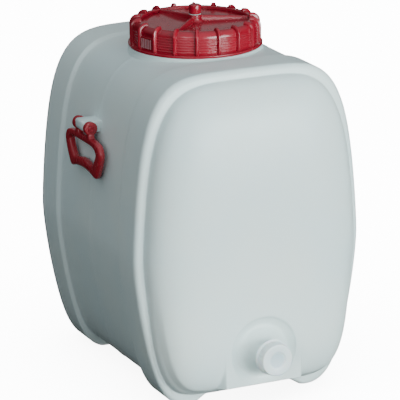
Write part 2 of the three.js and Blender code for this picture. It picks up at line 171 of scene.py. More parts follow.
# ---- Outlet ----
PAD_HALF_WIDTH = 54
PAD_BOTTOM = 29
PAD_FADE_LOW = 70
PAD_FADE_HIGH = 110
PAD_FADE = 9  # how far the pad sinks into the bulge between these heights
PAD_RUN_OUT = 20  # above them it sinks as far again in each such length
PAD_REACH = 42.5  # the flat pad's height above the ledge
PAD_SIDE_SLOPE = 2.4
PAD_BOTTOM_SLOPE = 5
PAD_BLEND = 2.4
SPIGOT_ROOT_DEPTH = 11  # from the pad back to where the spigot's length starts
BOWL_RADIUS = 46
BOWL_DEPTH = 9
BOWL_BLEND = 1.8
CIRCLE_RADIUS = 49  # round the outlet, where the front's rings turn into circles
SPIGOT_FOOT_RADIUS = 34
SPIGOT_FOOT_RISE = 21
SPIGOT_FOOT_BLEND = 7
SPIGOT_RADIUS = 16.5
SPIGOT_BORE = 10
SPIGOT_LENGTH = 46
SPIGOT_ROOT = BAND_EDGE + PAD_REACH - SPIGOT_ROOT_DEPTH
SPIGOT_MOUTH = SPIGOT_ROOT + SPIGOT_LENGTH
OUTLET_PITCH = 3
OUTLET_THREAD_DEPTH = 1.1
OUTLET_THREAD = (OUTLET_THREAD_DEPTH, OUTLET_PITCH, 2)  # depth, pitch and turns
OUTLET_THREAD_START = 9  # from the spigot's mouth

# ---- Handles ----
LUG_HALF_WIDTH = 13.5
BAR_CLEAR_RADIUS = 9.5  # about the hinge, kept free of the handle's top bar
LUG_RADIUS = 7.8
LUG_CORNER = 3
LUG_EDGE = 1.5
PIN_RADIUS = 3
PIN_HEAD_RADIUS = 4.6
EAR_THICKNESS = 8
EAR_RADIUS = 8.8
HANDLE_THICKNESS = 10
HANDLE_HALF_WIDTH = 57
SECTION_POWER = 0.62  # the handle's section: 1 is an ellipse, less is squarer
STEM_POWER = 0.5
HANDLE_DROP = 62
GRIP_WIDTH = 14
GRIP_ARCH = 6
EAR_EDGE = 1.2
MIRROR = Matrix.Diagonal((-1, 1, 1, 1))  # from the +X side to the other

# ---- Fineness ----
AROUND = 320
INSIDE_AROUND = 120
TURN_STEPS = 144
SHARP_ANGLE = math.radians(38)


# ---- Meshes ----
def added(name, data):
    """A new object in the scene."""
    thing = bpy.data.objects.new(name, data)
    bpy.context.scene.collection.objects.link(thing)
    return thing


def to_frame(points):
    """Millimetres about the lid's axis to metres in the row frame."""
    shifted = np.asarray(points, float).reshape(-1, 3) + (0, AXIS_Y, 0)
    return shifted * MM


def solid(name, points, faces):
    """A closed mesh object with its faces turned outwards."""
    mesh = bpy.data.meshes.new(name)
    mesh.from_pydata(to_frame(points).tolist(), [], faces)
    mesh.validate()
    triangles = [(f[0], f[i], f[i + 1]) for f in faces for i in range(1, len(f) - 1)]
    corner = np.asarray(points, float).reshape(-1, 3)[np.array(triangles)]
    volume = np.einsum("ij,ij->i", corner[:, 0], np.cross(corner[:, 1], corner[:, 2])).sum()
    if volume < 0:
        mesh.flip_normals()
    return added(name, mesh)


def skin(name, rings):
    """Rings of points, each with the same count, skinned into one closed solid with a fan at each end."""
    rings = np.asarray(rings, float)
    count = rings.shape[1]
    points = np.vstack([rings.reshape(-1, 3), rings[0].mean(0), rings[-1].mean(0)])
    first = len(points) - 2
    last = len(points) - 1
    faces = []
    end = (len(rings) - 1) * count
    for i in range(count):
        after = (i + 1) % count
        faces.append((first, after, i))
        faces.append((last, end + i, end + after))
        for k in range(len(rings) - 1):
            low = k * count
            faces.append((low + i, low + after, low + count + after, low + count + i))
    return solid(name, points, faces)


def lathe(name, profile, steps=TURN_STEPS, wave=None):
    """A closed profile of (radius, height) pairs turned about +Z. It may start and end on the axis.
    wave gives a factor on the radius for each angle."""
    angles = np.arange(steps) / steps * 2 * math.pi
    points = []
    rows = []
    for radius, height in profile:
        if radius < 1e-6:
            rows.append([len(points)] * steps)
            points.append((0, 0, height))
            continue
        rows.append(list(range(len(points), len(points) + steps)))
        for a in angles:
            reach = radius * (wave(a, height) if wave else 1)
            points.append((reach * math.cos(a), reach * math.sin(a), height))
    faces = []
    closed = profile[0][0] > 1e-6
    pairs = list(zip(rows, rows[1:] + rows[:1])) if closed else list(zip(rows, rows[1:]))
    for low, high in pairs:
        for i in range(steps):
            j = (i + 1) % steps
            face = []
            for corner in (low[i], low[j], high[j], high[i]):
                if corner not in face:
                    face.append(corner)
            if len(face) > 2:
                faces.append(tuple(face))
    return solid(name, points, faces)


def arc(centre, radius, start, end, steps=6):
    """Points on a circle in the plane of a profile, angles in degrees."""
    angles = np.radians(np.linspace(start, end, steps + 1))
    return [(centre[0] + radius * math.cos(a), centre[1] + radius * math.sin(a)) for a in angles]


def moved(thing, matrix):
    """Moves a mesh in millimetres about the lid's axis."""
    shift = Matrix.Translation((0, AXIS_Y * MM, 0))
    scaled = matrix.copy()
    scaled.translation = Vector(matrix.translation) * MM
    thing.data.transform(shift @ scaled @ shift.inverted())
    if matrix.determinant() < 0:
        thing.data.flip_normals()
    return thing


def on_outlet(thing):
    """A piece turned about +Z, laid on the outlet's axis: its height becomes the distance to the front."""
    matrix = Matrix.Translation((0, 0, OUTLET_HEIGHT)) @ Matrix.Rotation(math.pi / 2, 4, "X")
    return moved(thing, matrix)


def combine(thing, others, operation):
    """Joins or cuts closed solids, and drops the others."""
    for other in others:
        step = thing.modifiers.new(operation, "BOOLEAN")
        step.operation = operation
        step.solver = "MANIFOLD"
        step.object = other
    graph = bpy.context.evaluated_depsgraph_get()
    mesh = bpy.data.meshes.new_from_object(thing.evaluated_get(graph))
    thing.modifiers.clear()
    old = thing.data
    thing.data = mesh
    mesh.name = thing.name
    bpy.data.meshes.remove(old)
    for other in others:
        bpy.data.objects.remove(other)
    return thing


def join(thing, *others):
    """One solid from several."""
    return combine(thing, others, "UNION")


def cut(thing, *others):
    """A solid less the others."""
    return combine(thing, others, "DIFFERENCE")


def ridge(name, radius, side, depth, pitch, turns, start, per_turn=72):
    """A rounded helical thread whose root is sunk into the wall, running out to nothing at its ends.
    side is 1 for an outside thread and -1 for an inside one."""
    steps = round(turns * per_turn)
    run_out = per_turn / 6
    sink = 0.8
    flank = [(0.26, -1), (0.24, 0), (0.16, 0.72), (0.07, 1)]
    shape = [(-along, share) for along, share in flank] + flank[::-1]
    rings = []
    for i in range(steps + 1):
        angle = i / per_turn * 2 * math.pi
        height = start + i / per_turn * pitch
        rise = depth * min(1, (i + 0.2) / run_out, (steps - i + 0.2) / run_out)
        ring = []
        for along, share in shape:
            reach = radius + side * (share * rise if share >= 0 else -sink)
            ring.append((reach * math.cos(angle), reach * math.sin(angle), height + along * pitch))
        rings.append(ring)
    return skin(name, rings)


# ---- Tank shape ----
def smooth_step(t):
    """0 below 0, 1 above 1, and a smooth change between."""
    t = np.clip(t, 0, 1)
    return t * t * (3 - 2 * t)


def directions(count):
    """The across and up parts of evenly spaced directions, from straight up."""
    angle = np.arange(count) / count * 2 * math.pi
    return np.sin(angle), np.cos(angle)


def upright(flat, y):
    """A ring of (x, y, z) from rows of (across, height) at one y, or at a y for each row."""
    return np.column_stack([flat[:, 0], np.broadcast_to(y, len(flat)), flat[:, 1]])


def outline(count, inset, bottom, top, corner_top, corner_bottom, scale=1.0, feet=0.0):
    """One ring of the tank seen from the front: rows of (across, height)."""
    across, up = directions(count)
    n = np.where(up > 0, corner_top, corner_bottom)
    reach = (np.abs(across) ** n + np.abs(up) ** n) ** (-1 / n)
    middle = (bottom + top) / 2
    height = middle + ((top - bottom) / 2 - inset) * reach * up
    above = height > WIDEST_HEIGHT
    away = (height - WIDEST_HEIGHT) / np.where(above, TANK_HEIGHT - WIDEST_HEIGHT, WIDEST_HEIGHT)
    narrowing = np.where(above, NARROWING_TOP, NARROWING_BOTTOM) * np.abs(away) ** NARROWING_POWER
    width = (TANK_HALF_WIDTH - narrowing - inset) * reach * across
    to_foot = smooth_step((np.abs(width) - FOOT_INSIDE) / (FOOT_OUTSIDE - FOOT_INSIDE))
    fade = np.maximum(0, 1 - height / FOOT_FADE)
    height = height + feet * (FOOT_RISE + FLAT_BASE) * (1 - to_foot) * fade
    return np.column_stack([width * scale, middle + (height - middle) * scale])


def low_share(height):
    """0 above the part of a bulged end that spreads and 1 below it."""
    return smooth_step((BULGE_SPREAD_HIGH - height) / (BULGE_SPREAD_HIGH - BULGE_SPREAD_LOW))


def bulge_scale(rise):
    """The size of a bulged end's outline, as a share of its edge, at a rise above the ledge."""
    return (1 - (rise / BULGE) ** 2) ** (1 / BULGE_POWER)


def bulge_outline(count, shrink, scale=1.0):
    """The edge of a bulged end, whose lower part spreads towards the edge of the band."""
    inset = shrink + LEDGE
    corners = (BULGE_CORNER_TOP, BULGE_CORNER_BOTTOM)
    flat = outline(count, inset, LEDGE_RAISE, TANK_HEIGHT, *corners, scale)
    flat[:, 0] *= 1 + BULGE_SPREAD * low_share(flat[:, 1])
    return flat


def bulge_share(points, shrink):
    """How far each (across, height) point lies from the middle of a bulged end to its edge, 0 to 1."""
    edge = bulge_outline(1440, shrink)
    edge_angle = np.unwrap(np.arctan2(edge[:, 0], edge[:, 1] - BULGE_MIDDLE))
    edge_reach = np.hypot(edge[:, 0], edge[:, 1] - BULGE_MIDDLE)
    angle = np.arctan2(points[:, 0], points[:, 1] - BULGE_MIDDLE) % (2 * math.pi)
    reach = np.interp(angle, edge_angle, edge_reach, period=2 * math.pi)
    return np.hypot(points[:, 0], points[:, 1] - BULGE_MIDDLE) / reach


def smooth_max(a, b, blend):
    """The larger of two heights, rounded where they meet."""
    mix = np.clip(0.5 + 0.5 * (a - b) / blend, 0, 1)
    return b + (a - b) * mix + blend * mix * (1 - mix)


def smooth_min(a, b, blend):
    """The smaller of two heights, rounded where they meet."""
    return -smooth_max(-np.asarray(a), -np.asarray(b), blend)


RISEN_SHARE = bulge_scale(FRONT_RISE)


def front_height(points, shrink):
    """Height above the ledge of the bulged front with its flat pad, bowl and spigot foot."""
    share = np.clip(bulge_share(points, shrink), 0, 1)
    fullness = BULGE_FULLNESS * low_share(points[:, 1])
    power = BULGE_POWER + fullness * smooth_step((RISEN_SHARE - share) / FULLNESS_FADE)
    bulged = BULGE * np.sqrt(1 - share**power)
    across = np.abs(points[:, 0])
    side = PAD_SIDE_SLOPE * (across - PAD_HALF_WIDTH + shrink)
    below = PAD_BOTTOM_SLOPE * (PAD_BOTTOM + shrink - points[:, 1])
    over = np.maximum(side, below)
    fade = smooth_step((points[:, 1] - PAD_FADE_LOW) / (PAD_FADE_HIGH - PAD_FADE_LOW))
    fade = fade + np.maximum(points[:, 1] - PAD_FADE_HIGH, 0) / PAD_RUN_OUT
    pad = PAD_REACH - np.maximum(over, 0) - PAD_FADE * fade
    height = smooth_max(pad, bulged, PAD_BLEND)
    radius = np.hypot(points[:, 0], points[:, 1] - OUTLET_HEIGHT)
    dish = np.clip((radius - shrink) / BOWL_RADIUS, 0, 1.6)
    bowl = PAD_REACH - BOWL_DEPTH + BOWL_DEPTH * dish**4 * (1 + 0.15 * (dish > 1))
    height = smooth_min(height, bowl, BOWL_BLEND)
    if shrink == 0:
        share = (SPIGOT_FOOT_RADIUS - radius) / (SPIGOT_FOOT_RADIUS - SPIGOT_RADIUS)
        foot = PAD_REACH - BOWL_DEPTH + SPIGOT_FOOT_RISE * share
        height = smooth_max(foot, height, SPIGOT_FOOT_BLEND)
    return height - shrink


def band_rings(count, shrink, fine):
    """Rings of (x, y, z) for half of the tank: the waist, the slope, the band and its rounded edge."""
    inner = BAND_EDGE - BAND_WIDTH + shrink
    outer = BAND_EDGE - shrink
    rings = []

    def add(y, inset, bottom, feet=1.0):
        corners = (BAND_CORNER_TOP, BAND_CORNER_BOTTOM)
        flat = outline(count, inset, bottom, TANK_HEIGHT, *corners, feet=feet)
        rings.append(upright(flat, y))

    raised = WAIST_RAISE - WAIST_INSET
    for t in np.linspace(0, 1, round(22 * fine) + 2)[1:]:
        y = (inner - WAIST_STEP) * t**1.8
        line = PARTING_RISE * math.exp(-((y / PARTING_HALF_WIDTH) ** 2))
        add(y, shrink + WAIST_INSET - line, raised - line, 0.0)
    for t in np.linspace(0, 1, round(12 * fine) + 2):
        ease = smooth_step(t)
        bottom = -FLAT_BASE + (raised + FLAT_BASE) * (1 - ease)
        add(inner + (t - 0.5) * WAIST_STEP, shrink + WAIST_INSET * (1 - ease), bottom, ease)
    edge = outer - BAND_ROUND - LEDGE_DROP
    for y in np.linspace(inner + WAIST_STEP / 2, edge, round(10 * fine) + 2)[1:]:
        add(y, shrink, -FLAT_BASE)
    for a in np.linspace(0, 90, round(7 * fine) + 2)[1:]:
        turn = math.radians(a)
        inset = shrink + BAND_ROUND * (1 - math.cos(turn))
        add(edge + BAND_ROUND * math.sin(turn), inset, -FLAT_BASE)
    return rings


def bulge_rings(count, shrink, fine, rise):
    """The ledge's fillet and the first part of a bulged end, up to the given rise above the ledge."""
    outer = BAND_EDGE - shrink
    rings = []
    for a in np.linspace(0, 90, round(6 * fine) + 2):
        turn = math.radians(a)
        flat = bulge_outline(count, shrink - LEDGE_FILLET * (1 - math.sin(turn)))
        rings.append(upright(flat, outer + LEDGE_FILLET * (1 - math.cos(turn))))
    for height in np.linspace(LEDGE_FILLET, rise, round(10 * fine) + 2)[1:]:
        rings.append(upright(bulge_outline(count, shrink, bulge_scale(height)), outer + height))
    return rings


def front_rings(count, shrink, fine):
    """From the risen edge of the front to a circle round the outlet, and on inwards."""
    outer = BAND_EDGE - shrink
    edge = bulge_outline(count, shrink, RISEN_SHARE)
    direction = np.unwrap(np.arctan2(edge[:, 0], edge[:, 1] - OUTLET_HEIGHT))
    even = np.arange(count) / count * 2 * math.pi
    angle = 0.5 * direction + 0.5 * even  # between the edge's own directions and even ones
    unit = np.column_stack([np.sin(angle), np.cos(angle)])
    centre = np.array([0, OUTLET_HEIGHT])
    circle = centre + CIRCLE_RADIUS * unit
    rings = []
    for t in np.linspace(0, 1, round(84 * fine) + 2)[1:]:
        flat = edge + (circle - edge) * t
        rings.append(upright(flat, front_height(flat, shrink) + outer + shrink))
    last = SPIGOT_RADIUS if shrink == 0 else 2
    for radius in np.linspace(CIRCLE_RADIUS, last, round(34 * fine) + 2)[1:]:
        flat = centre + radius * unit
        rings.append(upright(flat, front_height(flat, shrink) + outer + shrink))
    if shrink == 0:
        start = rings[-1][:, 1].max()
        for y in np.linspace(start, SPIGOT_MOUTH - 1, 12)[1:]:
            rings.append(upright(flat, y))
        flat = centre + (SPIGOT_RADIUS - 1) * unit
        rings.append(upright(flat, SPIGOT_MOUTH))
    return rings


def rear_rings(count, shrink, fine):
    """The rest of the rear bulge, from the front's rise to near its middle."""
    outer = BAND_EDGE - shrink
    rings = []
    for t in np.linspace(0, 1, round(60 * fine) + 2)[1:-1]:
        scale = RISEN_SHARE * (1 - t) + 0.02 * t
        y = outer + BULGE * math.sqrt(1 - scale**BULGE_POWER)
        rings.append(upright(bulge_outline(count, shrink, scale), y))
    return rings


def tank_solid(name, count, shrink, fine):
    """The tank's closed skin, shrunk by the given amount, from the rear's middle to the front's."""
    half = band_rings(count, shrink, fine) + bulge_rings(count, shrink, fine, FRONT_RISE)
    rear = half + rear_rings(count, shrink, fine)
    front = half + front_rings(count, shrink, fine)
    mirror = np.array([1, -1, 1])
    return skin(name, list(reversed(rear)) + [ring * mirror for ring in front])


def neck():
    """The flared collar and the threaded neck above it, solid and sunk into the tank's shoulder."""
    shoulder = TANK_HEIGHT - WAIST_INSET
    spread = COLLAR_FLARE + FLARE_SUNK
    foot = COLLAR_RADIUS + spread
    profile = [(0, shoulder - 16), (foot, shoulder - 16)]
    for a in np.radians(np.linspace(0, 90, 9)):
        profile.append((foot - spread * math.sin(a), shoulder + 1.8 - FLARE_HEIGHT * math.cos(a)))
    profile += arc((COLLAR_RADIUS - SMALL_EDGE, COLLAR_HEIGHT - SMALL_EDGE), SMALL_EDGE, 0, 90, 4)
    profile += [(NECK_RADIUS + 1, COLLAR_HEIGHT), (NECK_RADIUS, COLLAR_HEIGHT + 1)]
    profile += arc((NECK_RADIUS - 1, NECK_HEIGHT - 1), 1, 0, 90, 4)
    profile += [(0, NECK_HEIGHT)]
    shape = lathe("neck", profile, 240)
    start = NECK_HEIGHT - LID_THREAD_START
    return join(shape, ridge("neck_thread", NECK_RADIUS, 1, *LID_THREAD, start))


def lug():
    """The solid lug that a handle hangs from, on the +X side, with rounded edges."""
    root = TANK_HALF_WIDTH - NARROWING_TOP - WAIST_INSET - 1
    rings = []
    for y, inset in [(0, LUG_EDGE), (0.45 * LUG_EDGE, 0.3 * LUG_EDGE), (LUG_EDGE, 0)]:
        rings.append((y - LUG_HALF_WIDTH, inset))
    rings += [(-y, inset) for y, inset in reversed(rings)]
    loops = []
    for y, inset in rings:
        radius = LUG_RADIUS - inset
        shift = radius - LUG_CORNER
        side = [(root, HINGE_HEIGHT - radius)]
        side += arc((HINGE_REACH, HINGE_HEIGHT), radius, -90, 0, 16)
        side += arc((HINGE_REACH + shift, HINGE_HEIGHT + shift), LUG_CORNER, 0, 90, 8)
        side += [(root, HINGE_HEIGHT + radius)]
        loops.append([(x, y, z) for x, z in side])
    return skin("lug", loops)


def on_hinge(thing, turned_about):
    """A piece made about the origin, turned a quarter and taken to the +X hinge."""
    place = Matrix.Translation((HINGE_REACH, 0, HINGE_HEIGHT))
    return moved(thing, place @ Matrix.Rotation(math.pi / 2, 4, turned_about))


def cylinder(name, radius, low, high, steps):
    """A plain upright cylinder."""
    return lathe(name, [(0, low), (radius, low), (radius, high), (0, high)], steps)


def rod(name, radius, half_length):
    """A plain cylinder on the +X hinge's axis."""
    return on_hinge(cylinder(name, radius, -half_length, half_length, 48), "X")


def slab(name, low, high):
    """A plain block between two corners."""
    x0, y0, z0 = low
    x1, y1, z1 = high
    ring = [(x0, y0), (x1, y0), (x1, y1), (x0, y1)]
    return skin(name, [[(x, y, z) for x, y in ring] for z in (z0, z1)])


def tank():
    """The tank, hollow and open at the neck and the spigot, with its threads and pierced lugs."""
    outside = tank_solid("tank_body", AROUND, 0, 1)
    inside = tank_solid("inside", INSIDE_AROUND, WALL, 0.45)
    mouth = cylinder("mouth", OPENING_RADIUS, MOUTH_CUT_LOW, MOUTH_CUT_HIGH, 240)
    bore = on_outlet(cylinder("bore", SPIGOT_BORE, SPIGOT_ROOT - 12, SPIGOT_MOUTH + 1, 64))
    start = SPIGOT_MOUTH - OUTLET_THREAD_START
    thread = on_outlet(ridge("outlet_thread", SPIGOT_RADIUS, 1, *OUTLET_THREAD, start))
    side = TANK_HALF_WIDTH + 10
    under = slab("under", (-side, -side, -5 * FLAT_BASE), (side, side, 0))
    right_hole = rod("hole", PIN_RADIUS + GAP, LUG_HALF_WIDTH + 1)
    left_hole = moved(rod("other_hole", PIN_RADIUS + GAP, LUG_HALF_WIDTH + 1), MIRROR)
    body = join(outside, lug(), moved(lug(), MIRROR))
    body = cut(join(cut(body, inside), neck()), mouth)
    body = join(body, thread)
    return cut(body, bore, right_hole, left_hole, under)


# ---- Lid ----
def lid_ring():
    """The screw ring: a corrugated skirt, a rounded shoulder, a flat rim and an inside thread."""
    profile = [(RING_BORE, RING_BOTTOM), (COLLAR_RADIUS - SMALL_EDGE, RING_BOTTOM)]
    profile += arc((COLLAR_RADIUS - SMALL_EDGE, RING_BOTTOM + SMALL_EDGE), SMALL_EDGE, -90, 0, 4)[1:]
    profile += arc((COLLAR_RADIUS - 1, RING_BOTTOM + 2.4), 1, 0, 90, 4)
    profile += [(RING_RADIUS + 1.6, RING_BOTTOM + 3.4), (RING_RADIUS + 0.6, RING_BOTTOM + 4)]
    steps = SKIRT_RIPPLES * 8
    for i in range(steps + 1):
        t = i / steps
        swell = 0.5 - 0.5 * math.cos(2 * math.pi * SKIRT_RIPPLES * t)
        profile.append((RING_RADIUS + RIPPLE_RISE * swell, SKIRT_LOW + (SKIRT_HIGH - SKIRT_LOW) * t))
    profile += arc((RING_RADIUS - RING_SHOULDER, SKIRT_HIGH), RING_SHOULDER, 4, 90, 12)
    profile += [(RIM_RADIUS + 1, RING_TOP), (RIM_RADIUS, RING_TOP - 1)]
    profile += [(RIM_RADIUS, DISC_TOP + GAP), (RING_BORE, DISC_TOP + GAP)]
    ring = lathe("lid_ring_body", profile, 288)
    fins = [fin(FIN_START_ANGLE + i * 360 / FIN_COUNT) for i in range(FIN_COUNT)]
    start = NECK_HEIGHT - LID_THREAD_START - LID_PITCH * 1.5
    thread = ridge("ring_thread", RING_BORE, -1, *LID_THREAD, start)
    turn = Matrix.Rotation(WINDOW_ANGLE, 4, "Z")
    half = SLOT_WIDTH / 2
    top = SKIRT_HIGH + 1
    slot = slab("slot", (RING_RADIUS - 1.6, -half, top - SLOT_HEIGHT), (RING_RADIUS + 6, half, top))
    ring = cut(ring, moved(slot, turn))
    bar_half_width = SLOT_WIDTH / WINDOW_BARS * 0.3
    bars = []
    for i in range(WINDOW_BARS):
        middle = (i + 0.5) / WINDOW_BARS * SLOT_WIDTH - half
        low = (RING_RADIUS - 2, middle - bar_half_width, SKIRT_LOW + 2)
        high = (RING_RADIUS + BAR_REACH, middle + bar_half_width, top - SLOT_HEIGHT - 2)
        bars.append(moved(slab("bar", low, high), turn))
    return join(ring, thread, *fins, *bars)


def fin(angle):
    """A rounded rib up the skirt and over the shoulder, ending in a round nose on the rim."""
    outer = RING_RADIUS
    bend = outer - RING_SHOULDER
    path = [(outer, z, 1, 0) for z in np.linspace(RING_BOTTOM + 2.5, SKIRT_HIGH, 9)]
    for a in np.radians(np.linspace(0, 90, 13)[1:]):
        out_r = math.cos(a)
        out_z = math.sin(a)
        path.append((bend + RING_SHOULDER * out_r, SKIRT_HIGH + RING_SHOULDER * out_z, out_r, out_z))
    path += [(r, RING_TOP, 0, 1) for r in np.linspace(bend - 1, RIM_RADIUS + 2.2, 4)]
    flank = [(-1.12, -1), (-1.05, 0.12), (-0.86, 0.62), (-0.5, 0.92), (0, 1.0)]
    section = [(share * FIN_WIDTH / 2, up) for share, up in flank]
    section += [(-w, up) for w, up in reversed(section[:-1])]
    rings = []
    last = len(path) - 1
    for i, (r, z, out_r, out_z) in enumerate(path):
        rise = NOSE_RISE + (FIN_REACH - NOSE_RISE) * out_r
        near_end = min(1, (i + 0.35) / 2.2, (last - i + 0.35) / 2.6)
        rise *= math.sqrt(max(0.02, 1 - (1 - near_end) ** 2))
        loop = []
        for w, up in section:
            lift = up * rise if up > 0 else -FIN_SINK
            loop.append((r + out_r * lift, w, z + out_z * lift))
        rings.append(loop)
    return moved(skin("fin", rings), Matrix.Rotation(math.radians(angle), 4, "Z"))


def lid_disc():
    """The plate inside the ring, with a flared hub for the vent plug and ribs out to the rim."""
    bore = PLUG_STEM_RADIUS + GAP
    profile = [(bore, DISC_BOTTOM), (DISC_RIM - 0.5, DISC_BOTTOM), (DISC_RIM, DISC_BOTTOM + 0.5)]
    profile += [(DISC_RIM, DISC_TOP - 0.3), (DISC_RIM - 0.3, DISC_TOP)]
    for t in np.linspace(0, 1, 8):
        profile.append((RIM_RADIUS - 2 - 8 * t, DISC_TOP + 0.6 * float(smooth_step(t))))
    profile += arc((HUB_RADIUS + HUB_FLARE, DISC_TOP + 0.6 + HUB_FLARE), HUB_FLARE, 270, 180, 8)
    profile += arc((HUB_RADIUS - SMALL_EDGE, HUB_TOP - SMALL_EDGE), SMALL_EDGE, 0, 90, 4)
    profile += [(bore, HUB_TOP)]
    disc = lathe("lid_disc_body", profile, 192)
    return join(disc, *[rib(RIB_START_ANGLE + i * 360 / RIB_COUNT) for i in range(RIB_COUNT)])


def rib(angle):
    """A rib from the hub to the rim, rounded along its top and widening into the dish."""
    inner = HUB_RADIUS - 1
    outer = RIM_RADIUS - GAP - 0.2
    low = DISC_TOP - 1
    half = RIB_WIDTH / 2
    rings = []
    for r in np.linspace(inner, outer, 24):
        t = (r - inner) / (outer - inner)
        top = HUB_TOP - 1 + (RING_TOP - 0.4 - HUB_TOP + 1) * t
        loop = [(-half - 1.2, low), (-half - 0.4, DISC_TOP + 0.9), (-half, DISC_TOP + 2)]
        loop += [(-half, top - 1.4), (-0.72 * half, top - 0.4), (-0.3 * half, top)]
        loop += [(-w, z) for w, z in reversed(loop)]
        rings.append([(r, w, z) for w, z in loop])
    return moved(skin("rib", rings), Matrix.Rotation(math.radians(angle), 4, "Z"))


def vent_plug():
    """A turned plug: its stem, a round knob and a small hollow on top."""
    low = PLUG_LOW[2]
    under = PLUG_SEAL_HIGH[2] + GAP
    top = PLUG_HIGH[2]
    profile = [(0, low), (PLUG_STEM_RADIUS - 1, low), (PLUG_STEM_RADIUS, low + 2)]
    profile += [(PLUG_STEM_RADIUS, under), (PLUG_KNOB_RADIUS - 0.5, under)]
    profile += arc((PLUG_KNOB_RADIUS - 0.6, under + 0.6), 0.6, -80, 0, 4)
    profile += arc((PLUG_KNOB_RADIUS - 1.3, top - 1.3), 1.3, 0, 90, 6)
    profile += [(3.4, top), (2.8, top - 0.6), (0, top - 0.8)]
    return lathe("vent_plug_turned", profile, 96)


def flat_ring(name, inner, outer, low, high, steps=144):
    """A seal: a flat ring with slightly rounded edges."""
    edge = min(0.4, (high - low) / 3)
    profile = [(inner, low + edge), (inner + edge, low), (outer - edge, low), (outer, low + edge)]
    profile += [(outer, high - edge), (outer - edge, high), (inner + edge, high), (inner, high - edge)]
    return lathe(name, profile, steps)


# ---- Outlet cap ----
CAP_BORE = SPIGOT_RADIUS + OUTLET_THREAD_DEPTH + 0.6
CAP_REACH = AXIS_Y - CAP_LOW[1]
CAP_BACK = AXIS_Y - CAP_HIGH[1]
CAP_INSIDE = CAP_REACH - 3
DIMPLE_RADIUS = 10.2
DIMPLE_DEPTH = 1.2
SHADE_RADIUS = 8.5  # the dimple's painted shade, a cooler darker tone for light through the thin plastic, is full within this and fades over the next
SHADE_FADE = 3
KNURLS = 36


def outlet_cap():
    """A knurled cap with a wide back rim, a shallow dimple in its face and an inside thread."""
    outer = CAP_BORE + 2.8
    wide = outer + 2.7
    profile = [(0, CAP_INSIDE), (CAP_BORE, CAP_INSIDE)]
    profile += [(CAP_BORE, CAP_BACK + 0.6), (CAP_BORE + 0.6, CAP_BACK)]
    profile += [(wide - 0.6, CAP_BACK), (wide, CAP_BACK + 0.6), (wide, CAP_BACK + 1.6)]
    profile += [(wide - 0.8, CAP_BACK + 2.3), (outer + 0.7, CAP_BACK + 3.2)]
    profile += arc((outer - 1.6, CAP_REACH - 1.6), 1.6, 0, 90, 7)
    for away, drop in [(2, 0), (1.2, 0.3), (0.6, 1.0), (0, DIMPLE_DEPTH)]:
        profile.append((DIMPLE_RADIUS + away, CAP_REACH - drop))
    profile += [(0, CAP_REACH - DIMPLE_DEPTH)]

    def knurl(angle, height):
        inside = CAP_BACK + 3 < height < CAP_REACH - 2.5
        return 1 + (0.012 * math.cos(KNURLS * angle) if inside else 0)

    body = lathe("outlet_cap_turned", profile, 288, knurl)
    start = SPIGOT_MOUTH - OUTLET_THREAD_START - OUTLET_PITCH * 0.5
    return on_outlet(join(body, ridge("cap_thread", CAP_BORE, -1, *OUTLET_THREAD, start)))


def outlet_washer():
    """A flat disc with slightly rounded edges between the spigot and the cap."""
    low = AXIS_Y - WASHER_HIGH[1]
    high = AXIS_Y - WASHER_LOW[1]
    edge = 0.3
    profile = [(0, low), (SPIGOT_RADIUS - edge, low), (SPIGOT_RADIUS, low + edge)]
    profile += [(SPIGOT_RADIUS, high - edge), (SPIGOT_RADIUS - edge, high), (0, high)]
    return on_outlet(lathe("washer", profile, 96))


# ---- Handles ----
def closed_curve(points, rounding=3):
    """Corner-cut smoothing of a closed outline."""
    outline_points = np.asarray(points, float)
    for _ in range(rounding):
        after = np.roll(outline_points, -1, axis=0)
        near = 0.75 * outline_points + 0.25 * after
        far = 0.25 * outline_points + 0.75 * after
        outline_points = np.stack([near, far], axis=1).reshape(-1, 2)
    return outline_points


def both_sides(half):
    """A closed outline from its half with across at or above 0."""
    other = [(-across, up) for across, up in reversed(half) if across > 0]
    return list(half) + other


def handle():
    """The drop handle on the +X side: a rounded loop, hung by two ears from the pin."""
    wide = HANDLE_HALF_WIDTH
    foot = 0.7 * wide
    bar_top = -BAR_CLEAR_RADIUS - 2.5
    ear_middle = LUG_HALF_WIDTH + GAP + EAR_THICKNESS / 2
    outer = [
        (0, bar_top),
        (ear_middle + EAR_THICKNESS, bar_top),
        (0.82 * wide, bar_top - 2),
        (0.95 * wide, bar_top - 7),
        (wide + 0.6, bar_top - 15),
        (0.97 * wide, bar_top - 24),
        (foot + 6, -HANDLE_DROP + 6),
        (foot + 1, -HANDLE_DROP - 0.5),
        (foot - 5, -HANDLE_DROP - 0.5),
        (foot - 14, -HANDLE_DROP + 0.5 * GRIP_ARCH),
        (0, -HANDLE_DROP + GRIP_ARCH),
    ]
    opening = [
        (0, bar_top - 9),
        (0.6 * wide, bar_top - 9),
        (0.72 * wide, bar_top - 12),
        (0.75 * wide, bar_top - 17),
        (foot - 9, -HANDLE_DROP + GRIP_WIDTH + 2),
        (foot - 16, -HANDLE_DROP + GRIP_WIDTH),
        (0, -HANDLE_DROP + GRIP_ARCH + GRIP_WIDTH),
    ]
    parts = [ear_and_stem(side * ear_middle, bar_top) for side in (-1, 1)]
    shape = join(handle_loop(outer, opening), *[part for pair in parts for part in pair])
    return cut(on_hinge(shape, "Z"), rod("pin_hole", PIN_RADIUS + GAP, HANDLE_HALF_WIDTH))


def resampled(points, count):
    """A closed outline with evenly spaced points, starting where it crosses the middle of the top."""
    closed = np.vstack([points, points[:1]])
    step = np.linalg.norm(np.diff(closed, axis=0), axis=1)
    length = np.concatenate([[0], np.cumsum(step)])
    at = np.linspace(0, length[-1], count, endpoint=False)
    return np.column_stack([np.interp(at, length, closed[:, k]) for k in (0, 1)])


